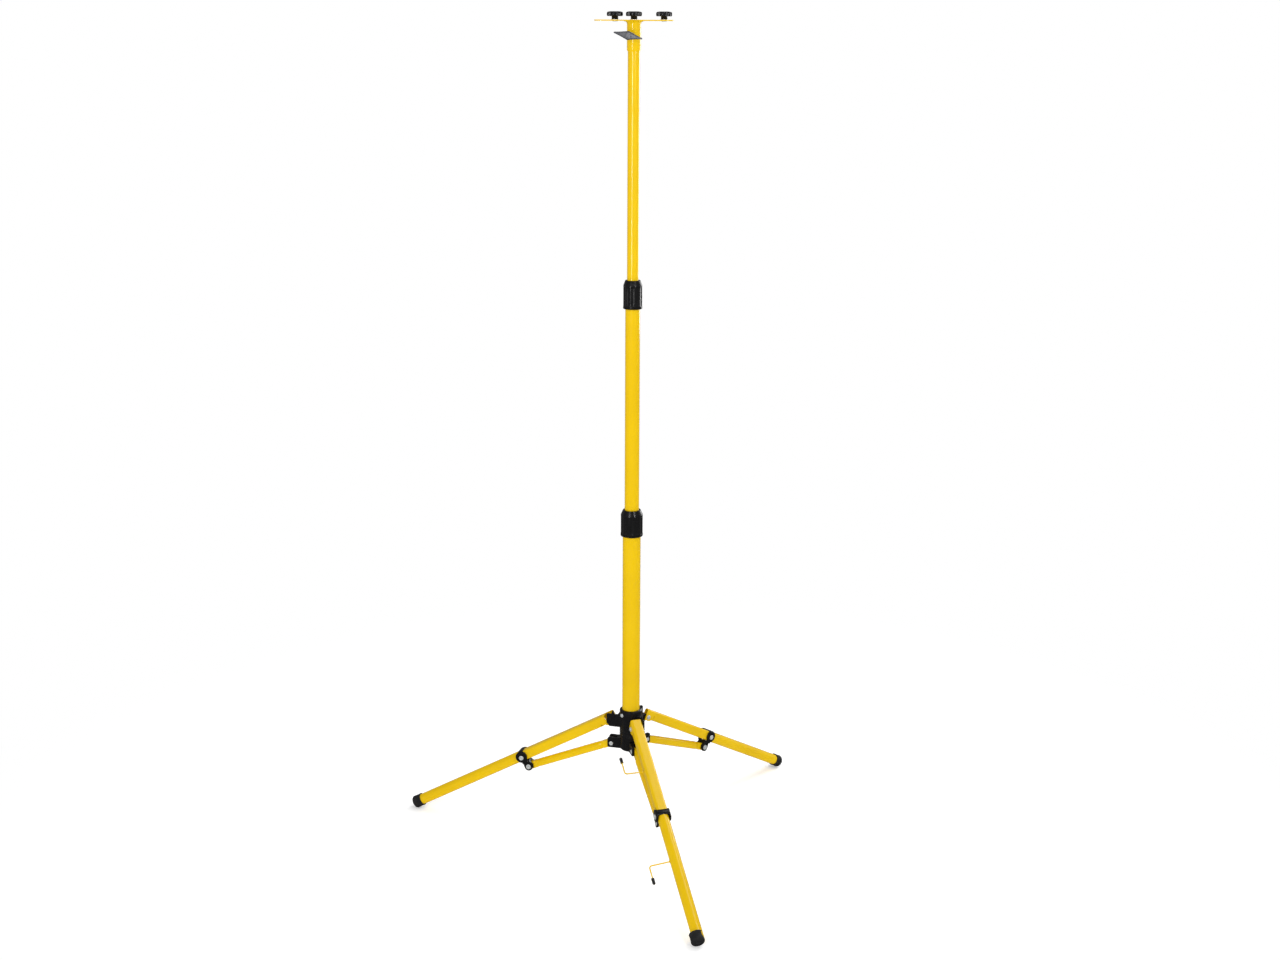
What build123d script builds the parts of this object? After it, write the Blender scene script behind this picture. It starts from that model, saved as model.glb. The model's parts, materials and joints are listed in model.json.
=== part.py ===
"""Telescopic tripod work-light stand: three-section steel mast, folding legs and a cross bar head.

Millimetres, +Z up.  The origin is the centre of the hub's underside, on the mast axis.  The front
leg points along -Y.  A leg is built in its own frame, x along the leg towards the foot, y to the
side and z square to the leg, and is then tilted, moved out and turned about the mast.
"""

from build123d import *
import os
from math import atan2, cos, degrees, hypot, radians, sin

# ---- driving dimensions: mast ----
GROUND_BELOW_HUB = 187.5  # the feet stand this far below the hub's underside
WALL = 1.2
RUNNING_GAP = 0.1
FIT_GAP = 0.05
BOTTOM_TUBE_R = 17.5
MIDDLE_TUBE_R = 14.0
TOP_TUBE_R = 11.0
LOWER_COLLAR = (448.5, 501.0, 21.75)  # bottom, top, outer radius
UPPER_COLLAR = (895.0, 949.0, 18.25)
TUBE_INTO_COLLAR = 24.0  # how far each outer tube reaches up inside its collar
COLLET_STEM = 18.0  # how far each collet reaches down inside its outer tube
PLUG_HEIGHT = 25.0
PLUG_LIP = 3.0
HEAD_SLEEVE = (1366.2, 1419.5, 12.7)
TOP_TUBE_TOP = 1413.0

# ---- driving dimensions: hub, sliding ring and leg linkage, as (radius, height) ----
HUB_R = 22.5
HUB_TOP = 36.0
RING_BOTTOM = 36.3
RING_TOP = 86.0
RING_PIVOT = (39.5, 57.7)
BASE_PIVOT = (38.8, 9.5)
KNEE = (228.9, -41.9)
LEG_ANGLE = 29.4
KNEE_RIVET = (0.0, -1.0)  # in the leg's frame
STRUT_RIVET = (-1.84, -25.2)
RIVET_R = 2.5
FORK_HALF_GAP = 5.25  # half the slot that each end of a strut turns in
BUTTON_R = 3.75
BUTTON_POCKET_R = 19.6  # radius at which the button's pocket ends
BUTTON_Z = 75.8
BUTTON_AZIMUTH = -157.0
BUTTON_TRAVEL = 1.2

# ---- driving dimensions: legs ----
LEG_W, LEG_H, LEG_CORNER, LEG_WALL = 22.0, 20.0, 4.5, 1.5
LOWER_LEG_R = 11.0
UPPER_LEG_END = -5.3
LOWER_LEG_START = -4.6
EAR_R = 7.0
EAR_REACH = 9.0  # how far the ears run on past the ring pivot
LEG_PAST_PIVOT = 10.2
STRUT_R = 8.0
TONGUE_T = 10.0  # thickness of the strut's flattened ends
TONGUE_R = 7.2
TONGUE_LENGTH = 19.0
FOOT_R, FOOT_ROUND, FOOT_LENGTH = 13.0, 4.0, 20.0
HOOK_R, HOOK_TIP_R = 1.25, 3.0

# ---- driving dimensions: head ----
BAR_LENGTH, BAR_WIDTH, BAR_T = 144.0, 28.0, 2.0
KNOB_PLACES = {"left": -34.5, "centre": 0.0, "right": 54.5}
HEAD_TURN = -15.4  # how the head is set about the mast, in degrees
CLAMP_AZIMUTH = -107.0  # the wing screw, about the mast, from the bar's direction
CLAMP_Z = 1394.0
WING_AT, WING_TILT = 34.5, -10.5
STUD_R = 3.0
STUD_IN_KNOB = 10.0
WASHER_R, WASHER_T = 7.5, 0.8
KNOB_NECK, KNOB_HEAD, KNOB_R, KNOB_NECK_R = 6.0, 7.8, 15.6, 6.0

LEG_AZIMUTHS = {"front": -90.0, "right": 30.0, "left": 150.0}
LUG_INNER_R = 20.0

# ---- sizes worked out from the driving dimensions ----
COS_LEG = cos(radians(LEG_ANGLE))
SIN_LEG = sin(radians(LEG_ANGLE))


def to_leg_frame(point):
    """A (radius, height) point as (along, square) in the leg's frame."""
    out = point[0] - KNEE[0]
    up = point[1] - KNEE[1]
    return out * COS_LEG - up * SIN_LEG, out * SIN_LEG + up * COS_LEG


def from_leg_frame(along, square):
    """An (along, square) point of the leg's frame as (radius, height)."""
    return KNEE[0] + along * COS_LEG + square * SIN_LEG, KNEE[1] - along * SIN_LEG + square * COS_LEG


PIVOT_X, PIVOT_Z = to_leg_frame(RING_PIVOT)
STRUT_END = from_leg_frame(*STRUT_RIVET)
STRUT_LENGTH = hypot(STRUT_END[0] - BASE_PIVOT[0], STRUT_END[1] - BASE_PIVOT[1])
STRUT_ANGLE = degrees(atan2(BASE_PIVOT[1] - STRUT_END[1], STRUT_END[0] - BASE_PIVOT[0]))
# the foot's rounded edge just touches the ground
FOOT_END = FOOT_ROUND + (
    GROUND_BELOW_HUB + KNEE[1] - FOOT_ROUND - (FOOT_R - FOOT_ROUND) * COS_LEG
) / SIN_LEG
# the sliding tubes end below their collets, with the guide plug on the foot
MIDDLE_TUBE_BOTTOM = LOWER_COLLAR[0] + TUBE_INTO_COLLAR - COLLET_STEM - 2.0 - PLUG_HEIGHT
TOP_TUBE_BOTTOM = UPPER_COLLAR[0] + TUBE_INTO_COLLAR - COLLET_STEM - 2.0 - PLUG_HEIGHT
BAR_TOP = HEAD_SLEEVE[1] + BAR_T
# each hook's place along the leg, its reach to the side, its bent length and its droop in degrees
HOOKS = {
    "upper": (PIVOT_X + 109.0, 49.0, -36.5, 1.0),
    "lower": (PIVOT_X + 315.0, 50.5, 37.0, 9.6),
}


def tube(outer, inner, bottom, top):
    body = Pos(0, 0, bottom) * Cylinder(outer, top - bottom, align=(Align.CENTER, Align.CENTER, Align.MIN))
    bore = Pos(0, 0, bottom - 1) * Cylinder(
        inner, top - bottom + 2, align=(Align.CENTER, Align.CENTER, Align.MIN)
    )
    return body - bore


def rod(radius, bottom, top):
    return Pos(0, 0, bottom) * Cylinder(radius, top - bottom, align=(Align.CENTER, Align.CENTER, Align.MIN))


def turned(points):
    """A solid of revolution about the mast from a closed (radius, height) outline."""
    return revolve(Plane.XZ * make_face(Polyline(*points, close=True)), Axis.Z)


def box_outline(x_low, x_high, z_low, z_high):
    """A rectangular face drawn in x and z."""
    return make_face(
        Polyline((x_low, z_low), (x_high, z_low), (x_high, z_high), (x_low, z_high), close=True)
    )


def side_plate(face, low, high):
    """A flat plate drawn in x and z, filling the side offsets from low to high."""
    return extrude(Plane((0, low, 0), x_dir=(1, 0, 0), z_dir=(0, -1, 0)) * face, -(high - low))


def cross_pin(x, z, radius, low, high):
    """A round pin along y at (x, z)."""
    return Pos(x, low, z) * Rot(-90, 0, 0) * rod(radius, 0, high - low)


def place_leg(shape, azimuth):
    return Rot(0, 0, azimuth) * Pos(KNEE[0], 0, KNEE[1]) * Rot(0, LEG_ANGLE, 0) * shape


def place_strut(shape, azimuth):
    return Rot(0, 0, azimuth) * Pos(BASE_PIVOT[0], 0, BASE_PIVOT[1]) * Rot(0, STRUT_ANGLE, 0) * shape


def write(name, shape):
    export_step(shape, f"parts/{name}.step")


# ---- hub and sliding ring ----
def hub_base():
    """The cup under the mast, with three forked lugs for the struts."""
    floor, bevel = 4.0, 3.0
    bore = BOTTOM_TUBE_R + FIT_GAP
    cup = turned(
        [
            (0, 0),
            (HUB_R - bevel, 0),
            (HUB_R, bevel),
            (HUB_R, HUB_TOP),
            (bore, HUB_TOP),
            (bore, floor),
            (0, floor),
        ]
    )
    lug_low, lug_high, lug_out = 1.0, 22.5, 46.5
    cheek, slot_floor = 4.1, 27.0
    for azimuth in LEG_AZIMUTHS.values():
        outline = box_outline(LUG_INNER_R, lug_out, lug_low, lug_high)
        outline = fillet(outline.vertices().group_by(Axis.X)[-1], 4.5)
        lug = side_plate(outline, -FORK_HALF_GAP - cheek, FORK_HALF_GAP + cheek)
        slot = Pos(slot_floor, 0, 0) * Box(
            60, 2 * FORK_HALF_GAP, 100, align=(Align.MIN, Align.CENTER, Align.CENTER)
        )
        hole = cross_pin(*BASE_PIVOT, RIVET_R + FIT_GAP, -20, 20)
        cup += Rot(0, 0, azimuth) * (lug - slot - hole)
    return cup - rod(bore, floor, HUB_TOP + 1)


def base_rivets():
    """The three rivets that the struts turn on."""
    half_grip, head, head_r = 9.4, 1.6, 4.2
    rivets = []
    for azimuth in LEG_AZIMUTHS.values():
        pin = cross_pin(*BASE_PIVOT, RIVET_R, -half_grip, half_grip)
        for side in (1, -1):
            pin += Pos(BASE_PIVOT[0], side * half_grip, BASE_PIVOT[1]) * Rot(-90 * side, 0, 0) * rivet_head(
                head_r, head
            )
        rivets.append(Rot(0, 0, azimuth) * pin)
    return Compound(children=rivets)


def rivet_head(radius, height):
    """A low domed head standing on z = 0."""
    head = rod(radius, 0, height)
    return fillet(head.edges().group_by(Axis.Z)[-1], 0.8 * height)


def leg_ring():
    """The ring that slides on the bottom tube and carries the three leg lugs."""
    bore = BOTTOM_TUBE_R + RUNNING_GAP
    rim = 2.0
    body = turned(
        [
            (bore, RING_BOTTOM),
            (HUB_R, RING_BOTTOM),
            (HUB_R, RING_TOP - rim),
            (HUB_R - rim, RING_TOP),
            (bore, RING_TOP),
        ]
    )
    for azimuth in LEG_AZIMUTHS.values():
        body += Rot(0, 0, azimuth) * leg_lug()
    pocket = radial_pin(BUTTON_R + RUNNING_GAP, BUTTON_POCKET_R, HUB_R + 5)
    return body - rod(bore, RING_BOTTOM - 1, RING_TOP + 1) - pocket


def leg_lug():
    """One lug: a fin inside the leg's end and a cheek outside it, with the stop tab on top."""
    fin_half, fin_r = 6.3, 6.8
    cheek_low, cheek_high = 11.6, 15.6
    x, z = RING_PIVOT
    fin = side_plate(box_outline(LUG_INNER_R, x, z - fin_r, z + fin_r), -fin_half, fin_half)
    fin += cross_pin(x, z, fin_r, -fin_half, fin_half)
    # the eye is open outwards and upwards, so the leg's rivet leaves it freely while the ring slides
    fin -= cross_pin(x, z, RIVET_R + RUNNING_GAP, -fin_half - 1, fin_half + 1)
    fin -= side_plate(make_face(eye_mouth(x, z)), -fin_half - 1, fin_half + 1)
    bottom, top, out = 49.5, 75.5, 46.5
    tab_x, tab_half, tab_top = 34.0, 3.2, 82.5
    outline = make_face(
        Polyline(
            (LUG_INNER_R, bottom),
            (out - 6.0, bottom),
            (out, bottom + 7.0),
            (out, top - 1.5),
            (out - 1.5, top),
            (tab_x + tab_half, top),
            (tab_x + 0.8, tab_top),
            (tab_x - 0.8, tab_top),
            (tab_x - tab_half, top),
            (LUG_INNER_R, top),
            close=True,
        )
    )
    cheek = side_plate(outline, cheek_low, cheek_high)
    root = Pos(0, 0, bottom) * Box(
        HUB_R + 1.5, cheek_high, top - bottom, align=(Align.MIN, Align.MIN, Align.MIN)
    )
    root -= Pos(-1, -1, bottom - 1) * Box(14, 40, 60, align=(Align.MIN, Align.MIN, Align.MIN))
    return fin + cheek + root


def eye_mouth(x, z):
    """The wedge that opens the eye, from just above level to nearly upright."""
    reach = 14.0
    gap = RIVET_R + RUNNING_GAP
    low, high = radians(18.0), radians(80.0)
    near_low = (x + gap * sin(low), z - gap * cos(low))
    near_high = (x - gap * sin(high), z + gap * cos(high))
    far_low = (near_low[0] + reach * cos(low), near_low[1] + reach * sin(low))
    far_high = (near_high[0] + reach * cos(high), near_high[1] + reach * sin(high))
    far_mid = (x + 1.3 * reach * cos((low + high) / 2), z + 1.3 * reach * sin((low + high) / 2))
    return Polyline((x, z), near_low, far_low, far_mid, far_high, near_high, close=True)


# ---- the ring's lock button ----
def radial_pin(radius, low, high):
    """A pin that points out of the ring at the lock button's place."""
    return Rot(0, 0, BUTTON_AZIMUTH) * Pos(low, 0, BUTTON_Z) * Rot(0, 90, 0) * rod(radius, 0, high - low)


def lock_button():
    """The round button: it stands proud of the ring and presses in by its travel."""
    body = radial_pin(BUTTON_R, BUTTON_POCKET_R + BUTTON_TRAVEL + 0.1, HUB_R + 0.6)
    dome = Pos(HUB_R + 0.6, 0, BUTTON_Z) * Rot(0, 90, 0) * rivet_head(BUTTON_R, 1.2)
    return body + Rot(0, 0, BUTTON_AZIMUTH) * dome


# ---- mast ----
def bottom_tube():
    return tube(BOTTOM_TUBE_R, BOTTOM_TUBE_R - WALL, 4.1, LOWER_COLLAR[0] + TUBE_INTO_COLLAR)


def middle_tube():
    return tube(MIDDLE_TUBE_R, MIDDLE_TUBE_R - WALL, MIDDLE_TUBE_BOTTOM, UPPER_COLLAR[0] + TUBE_INTO_COLLAR)


def top_tube():
    return tube(TOP_TUBE_R, TOP_TUBE_R - WALL, TOP_TUBE_BOTTOM, TOP_TUBE_TOP)


def guide_plug(outer_tube_r, inner_tube_r, bottom):
    """The nylon bush on an inner tube's foot: it keeps that tube centred in the outer one."""
    guide = outer_tube_r - WALL - RUNNING_GAP
    spigot = inner_tube_r - WALL - FIT_GAP
    bore = spigot - 2.5
    return turned(
        [
            (bore, bottom - PLUG_LIP),
            (guide - 1.0, bottom - PLUG_LIP),
            (guide, bottom - PLUG_LIP + 1.0),
            (guide, bottom + PLUG_HEIGHT),
            (inner_tube_r + FIT_GAP, bottom + PLUG_HEIGHT),
            (inner_tube_r + FIT_GAP, bottom),
            (spigot, bottom),
            (spigot, bottom + 14.0),
            (bore, bottom + 14.0),
        ]
    )


def collet(outer_tube_r, inner_tube_r, tube_top):
    """The split bush in an outer tube's mouth, whose four fingers grip the inner tube."""
    bore = inner_tube_r + RUNNING_GAP
    stem = outer_tube_r - WALL - FIT_GAP
    finger_top = tube_top + 20.0
    body = turned(
        [
            (bore, tube_top - COLLET_STEM),
            (stem, tube_top - COLLET_STEM),
            (stem, tube_top + 0.1),
            (outer_tube_r, tube_top + 0.1),
            (outer_tube_r, tube_top + 3.0),
            (bore + 1.8, finger_top),
            (bore, finger_top),
        ]
    )
    for turn in (0, 90):
        body -= Rot(0, 0, turn) * Pos(0, 0, tube_top + 5.0) * Box(
            80, 1.6, 40, align=(Align.CENTER, Align.CENTER, Align.MIN)
        )
    return body


def twist_collar(sizes, outer_tube_r, inner_tube_r):
    """The fluted twist-lock collar, with a cone inside that closes the collet."""
    bottom, top, radius = sizes
    tube_top = bottom + TUBE_INTO_COLLAR
    low_bore = outer_tube_r + RUNNING_GAP
    mouth = inner_tube_r + 2 * RUNNING_GAP
    cone_start, cone_end = tube_top + 3.5, top - 5.0
    shoulder, neck_r = 10.0, inner_tube_r + 3.2
    body = turned(
        [
            (low_bore, bottom),
            (radius - 1.5, bottom),
            (radius, bottom + 1.5),
            (radius, top - shoulder),
            (neck_r, top),
            (mouth, top),
            (mouth, cone_end),
            (inner_tube_r + 2.6, cone_end),
            (outer_tube_r + 0.6, cone_start),
            (low_bore, cone_start),
        ]
    )
    flutes, flute_r, flute_depth = 12, 3.0, 1.1
    cut = Pos(radius + flute_r - flute_depth, 0, 0) * rod(flute_r, bottom + 5.0, top - shoulder - 1.0)
    for i in range(flutes):
        body -= Rot(0, 0, i * 360 / flutes) * cut
    return body


# ---- legs ----
def leg_profile(width, height, corner):
    return Plane.YZ * RectangleRounded(width, height, corner)


def upper_leg(cut_back):
    """The squared tube, with ears about the ring pivot and its underside slotted for the fin. A leg
    that is cut back has its roof and one ear cut low where the ring's lug stands over them."""
    start = PIVOT_X - LEG_PAST_PIVOT
    length = UPPER_LEG_END - start
    body = Pos(start, 0, 0) * extrude(leg_profile(LEG_W, LEG_H, LEG_CORNER), length)
    ear_low, ear_end = PIVOT_Z - EAR_R, PIVOT_X + EAR_REACH
    ear = Polyline(
        (start, -LEG_CORNER), (start, ear_low + 1.5), (start + 1.5, ear_low), (ear_end - 4.0, ear_low),
        (ear_end + 4.0, -LEG_H / 2 + 1.0), (ear_end + 4.0, -LEG_CORNER), close=True,
    )
    for side in (1, -1):
        low, high = sorted((side * (LEG_W / 2 - LEG_WALL), side * LEG_W / 2))
        body += side_plate(make_face(ear), low, high)
    hollow = Pos(start - 1, 0, 0) * extrude(
        leg_profile(LEG_W - 2 * LEG_WALL, LEG_H - 2 * LEG_WALL, LEG_CORNER - LEG_WALL), length + 2
    )
    slot_end = PIVOT_X + 20.0
    slot = Pos(slot_end, 0, -LEG_H / 2) * Box(
        slot_end - start + 1, LEG_W - 2 * LEG_WALL, 12, align=(Align.MAX, Align.CENTER, Align.CENTER)
    )
    flat_half = LEG_W / 2 - LEG_CORNER
    roof_end, low_ear_top = PIVOT_X + 8.0, PIVOT_Z + 5.8
    cut_length = roof_end - start + 1
    roof_cut = Pos(roof_end, -flat_half, low_ear_top) * Box(
        cut_length, LEG_W, LEG_H, align=(Align.MAX, Align.MIN, Align.MIN)
    )
    low_ear_end = Pos(PIVOT_X - 6.5, 0, 0) * Box(
        cut_length, LEG_W, 2 * LEG_H, align=(Align.MAX, Align.MIN, Align.CENTER)
    )
    trimmed = 2.5
    ear_trim = Pos(start + trimmed, 0, 0) * Box(
        trimmed + 1, 2 * LEG_W, 2 * LEG_H, align=(Align.MAX, Align.CENTER, Align.CENTER)
    )
    rivet_hole = cross_pin(PIVOT_X, PIVOT_Z, RIVET_R + FIT_GAP, -LEG_W, LEG_W)
    relief = cross_pin(PIVOT_X + 21.5, -LEG_H / 2 + 3.5, 1.5, 0, LEG_W)
    slit_x, slit_half, slit_low, slit_high = PIVOT_X + 17.0, 0.8, -5.0, 0.5
    slit = side_plate(box_outline(slit_x - slit_half, slit_x + slit_half, slit_low, slit_high), -LEG_W, 0)
    body = body - hollow - slot - rivet_hole - relief - slit
    return body - roof_cut - low_ear_end - ear_trim if cut_back else body


def lower_leg():
    """The round tube from the knee to the foot."""
    body = Rot(0, 90, 0) * tube(LOWER_LEG_R, LOWER_LEG_R - LEG_WALL, LOWER_LEG_START, FOOT_END - FOOT_ROUND)
    return body - cross_pin(*KNEE_RIVET, RIVET_R + FIT_GAP, -LEG_W, LEG_W)


def foot_cap():
    """The rubber cap on the lower tube's end."""
    bore = LOWER_LEG_R + FIT_GAP
    open_end = FOOT_END - FOOT_LENGTH
    inside = FOOT_END - FOOT_ROUND + 0.05
    edge = Polyline((bore, open_end), (FOOT_R, open_end), (FOOT_R, FOOT_END - FOOT_ROUND))
    round_edge = RadiusArc((FOOT_R, FOOT_END - FOOT_ROUND), (FOOT_R - FOOT_ROUND, FOOT_END), -FOOT_ROUND)
    rest = Polyline(
        (FOOT_R - FOOT_ROUND, FOOT_END), (0, FOOT_END), (0, inside), (bore, inside), (bore, open_end)
    )
    return Rot(0, 90, 0) * revolve(Plane.XZ * make_face(edge + round_edge + rest), Axis.Z)


def knee_bracket():
    """The saddle that joins both tubes, with the forked lug for the strut below it."""
    outer, outer_round, below = 14.5, 8.0, 60.0
    disc_x, disc_z, disc_r = -0.8, 0.4, 12.0
    neck_half = 12.5
    square_room, roof = LEG_W / 2 + 0.1, LEG_H / 2 + 0.1
    round_room = LOWER_LEG_R + 0.3
    seam, open_from, far = (UPPER_LEG_END + LOWER_LEG_START) / 2, 4.5, 60.0
    body = side_plate(Pos(disc_x, disc_z) * Circle(disc_r), -outer, outer)
    body &= Pos(-far, 0, outer - below / 2) * extrude(leg_profile(2 * outer, below, outer_round), 2 * far)
    body += side_plate(box_outline(-7.5, 4.5, -14.5, -9.0), -neck_half, neck_half)
    body += knee_fork()
    square_channel = Pos(seam, 0, roof) * Box(
        far, 2 * square_room, below, align=(Align.MAX, Align.CENTER, Align.MAX)
    )
    round_channel = Pos(seam, 0, 0) * Rot(0, 90, 0) * rod(round_room, 0, far)
    round_channel += Pos(seam, 0, 0) * Box(
        far, 2 * round_room, below / 4, align=(Align.MIN, Align.CENTER, Align.MAX)
    )
    open_top = Pos(open_from, 0, 0) * Box(
        far, 2 * round_room, far, align=(Align.MIN, Align.CENTER, Align.MIN)
    )
    knee_hole = cross_pin(*KNEE_RIVET, RIVET_R + FIT_GAP, -30, 30)
    floor = knee_floor(round_room)
    return body - (square_channel - floor) - (round_channel - floor) - open_top - knee_hole


def knee_floor(half_width):
    """The block under both tubes that carries the fork."""
    floor_top = -LOWER_LEG_R - 0.1
    block = Box(60, 2 * half_width + 2, 60, align=(Align.CENTER, Align.CENTER, Align.MAX))
    return Pos(0, 0, floor_top) * block


def knee_fork():
    """The lug below the saddle: a roof over the strut's end and a cheek on each side of it."""
    half, lobe_r = 8.6, 8.4
    sx, sz = STRUT_RIVET
    outline = Polyline(
        (-8.0, -8.0),
        (-9.0, -14.5),
        (-13.4, -23.1),
        (-10.8, -31.4),
        (sx, sz - 0.5),
        (sx + 8.3, sz + 1.2),
        (5.4, -16.0),
        (5.4, -12.5),
        (8.0, -8.0),
        close=True,
    )
    fork = side_plate(make_face(outline), -half, half)
    fork += cross_pin(sx, sz, lobe_r, -half, half)
    slot = Pos(sx, 0, sz + TONGUE_R + 0.6) * Box(
        60, 2 * FORK_HALF_GAP, 40, align=(Align.CENTER, Align.CENTER, Align.MAX)
    )
    return fork - slot - cross_pin(sx, sz, RIVET_R + FIT_GAP, -30, 30)


def knee_rivets():
    """The knee rivet and the rivet that the strut's outer end turns on."""
    rivets = []
    for (x, z), half_grip, head_r, head in (
        (KNEE_RIVET, 14.5, 4.9, 1.9),
        (STRUT_RIVET, 8.6, 5.2, 1.8),
    ):
        pin = cross_pin(x, z, RIVET_R, -half_grip, half_grip)
        for side in (1, -1):
            pin += Pos(x, side * half_grip, z) * Rot(-90 * side, 0, 0) * rivet_head(head_r, head)
        rivets.append(pin)
    return rivets


def pivot_rivet():
    """The leg's top rivet: domed on one side, flush on the side under the ring's cheek."""
    half = LEG_W / 2
    pin = cross_pin(PIVOT_X, PIVOT_Z, RIVET_R, -half, half)
    return pin + Pos(PIVOT_X, -half, PIVOT_Z) * Rot(90, 0, 0) * rivet_head(4.6, 2.4)


def strut():
    """A round tube whose two ends are pressed into flat tongues."""
    start, end = TONGUE_LENGTH, STRUT_LENGTH - TONGUE_LENGTH
    blend = 9.0
    body = Rot(0, 90, 0) * tube(STRUT_R, STRUT_R - WALL, start + blend, end - blend)
    for x, outward in ((0, 1), (STRUT_LENGTH, -1)):
        tongue_far = x + outward * start
        low, high = sorted((x, tongue_far))
        outline = box_outline(low, high, -TONGUE_R, TONGUE_R)
        tongue = side_plate(outline, -TONGUE_T / 2, TONGUE_T / 2)
        tongue += cross_pin(x, 0, TONGUE_R, -TONGUE_T / 2, TONGUE_T / 2)
        flat = Plane.YZ.offset(tongue_far) * RectangleRounded(TONGUE_T, 2 * TONGUE_R, 3.0)
        round_end = Plane.YZ.offset(tongue_far + outward * blend) * Circle(STRUT_R)
        body += tongue + loft([flat, round_end])
        body -= cross_pin(x, 0, RIVET_R + RUNNING_GAP, -30, 30)
    return body


def cable_hook(along, reach, bent, droop):
    """A wire hook that stands out of the leg's side and turns along the leg."""
    root, bend_r = -LEG_W / 2 + 4.0, 5.0
    turn = 1 if bent > 0 else -1
    out = Line((along, root, 0), (along, -reach + bend_r, 0))
    run = Line((along + turn * bend_r, -reach, 0), (along + bent, -reach, 0))
    path = Wire([out, hook_corner(along, reach, bend_r, turn), run])
    start = Plane(origin=(along, root, 0), z_dir=(0, -1, 0))
    return Rot(droop, 0, 0) * sweep(start * Circle(HOOK_R), path=path)


def hook_corner(along, reach, bend_r, turn):
    """The quarter bend between a hook's arm and its run."""
    mid = bend_r * (1 - cos(radians(45)))
    return ThreePointArc(
        (along, -reach + bend_r, 0),
        (along + turn * mid, -reach + mid, 0),
        (along + turn * bend_r, -reach, 0),
    )


def hook_tip(along, reach, bent, droop):
    """The soft cap on a hook's end."""
    turn = 1 if bent > 0 else -1
    length, overlap = 13.0, 10.0
    bore = HOOK_R + FIT_GAP
    face = make_face(
        Polyline(
            (bore, 0),
            (HOOK_TIP_R, 0),
            (HOOK_TIP_R, length - 2),
            (HOOK_TIP_R - 2, length),
            (0, length),
            (0, overlap + 0.05),
            (bore, overlap + 0.05),
            close=True,
        )
    )
    cap = revolve(Plane.XZ * face, Axis.Z)
    return Rot(droop, 0, 0) * Pos(along + bent - turn * overlap, -reach, 0) * Rot(0, 90 * turn, 0) * cap


# ---- head ----
def place_head(shape):
    return Rot(0, 0, HEAD_TURN) * shape


def head_sleeve():
    """The socket over the top tube, with a trumpet flare where it is welded to the bar."""
    bottom, top, radius = HEAD_SLEEVE
    bore = TOP_TUBE_R + RUNNING_GAP
    flare, flare_r, lip = 5.0, 17.5, 0.8
    flare_start = (radius, top - lip - flare)
    outline = Polyline(flare_start, (radius, bottom + 3.0), (radius - 0.9, bottom), (bore, bottom))
    outline += Polyline((bore, bottom), (bore, top), (flare_r, top), (flare_r, top - lip))
    outline += RadiusArc(flare_start, (flare_r, top - lip), 1.02 * flare)
    body = revolve(Plane.XZ * make_face(outline), Axis.Z)
    return body - clamp_pin(STUD_R + FIT_GAP, 0, 60)


def clamp_pin(radius, low, high):
    """A pin on the wing screw's axis, between two distances from the mast axis."""
    return Rot(0, 0, CLAMP_AZIMUTH) * Pos(low, 0, CLAMP_Z) * Rot(0, 90, 0) * rod(radius, 0, high - low)


def clamp_nut():
    """The nut welded to the socket for the wing screw."""
    block = extrude(RegularPolygon(5.0, 6, major_radius=False), 5.5)
    nut = Rot(0, 0, CLAMP_AZIMUTH) * Pos(HEAD_SLEEVE[2] - 1.0, 0, CLAMP_Z) * Rot(0, 90, 0) * block
    return nut - rod(HEAD_SLEEVE[2] + FIT_GAP, 1300, 1450) - clamp_pin(STUD_R + FIT_GAP, 0, 60)


def wing_screw():
    """The clamp screw with its lozenge-shaped flat wing."""
    wing_t = 4.6
    half, tip, waist = 27.5, 1.6, 8.2
    lower_edge = [(-half, -tip), (0, -waist), (half, -tip)]
    upper_edge = [(half, tip), (0, waist), (-half, tip)]
    outline = make_face(Polyline(*lower_edge, *upper_edge, close=True))
    outline = fillet(outline.vertices(), 1.3)
    wing = extrude(outline, wing_t)
    boss = rod(6.0, -3.5, wing_t)
    head = Pos(WING_AT, 0, CLAMP_Z) * Rot(0, 90, 0) * Rot(0, 0, 90 + WING_TILT) * (wing + boss)
    return Rot(0, 0, CLAMP_AZIMUTH) * head + clamp_pin(STUD_R, TOP_TUBE_R + 0.1, WING_AT)


def cross_bar():
    """The flat bar, with a slot for each outer knob and a hole in the middle."""
    bar = extrude(SlotOverall(BAR_LENGTH, BAR_WIDTH), BAR_T) & Box(BAR_LENGTH, BAR_WIDTH, 50)
    slot_near, slot_far = 22.0, 62.0
    for side in (1, -1):
        middle = side * (slot_near + slot_far) / 2
        bar -= Pos(middle, 0, -1) * extrude(SlotOverall(slot_far - slot_near, 2 * STUD_R + 0.5), 5)
    bar -= rod(STUD_R + 0.1, -1, 5)
    return Pos(0, 0, HEAD_SLEEVE[1]) * bar


def knob(x):
    """A six-lobed star knob that screws down on its stud; a cone slopes the tops of its lobes."""
    lobes, lobe_r = 6, 4.4
    cone_out, cone_drop = 5.0, 3.0
    disc = Circle(KNOB_R - lobe_r + 0.6)
    for i in range(lobes):
        disc += Rot(0, 0, i * 360 / lobes) * Pos(KNOB_R - lobe_r, 0) * Circle(lobe_r)
    cone_r = KNOB_R + 1.0
    cone = turned(
        [
            (0, -1),
            (cone_r, -1),
            (cone_r, KNOB_HEAD + 0.6 - cone_drop),
            (cone_r - cone_out, KNOB_HEAD + 0.6),
            (0, KNOB_HEAD + 0.6),
        ]
    )
    head = extrude(disc, KNOB_HEAD) & cone
    base = BAR_TOP + WASHER_T + 0.05
    body = Pos(x, 0, base + KNOB_NECK) * head + Pos(x, 0, 0) * rod(KNOB_NECK_R, base, base + KNOB_NECK + 1)
    return body - Pos(x, 0, 0) * rod(STUD_R + FIT_GAP, base - 1, base + STUD_IN_KNOB)


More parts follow.
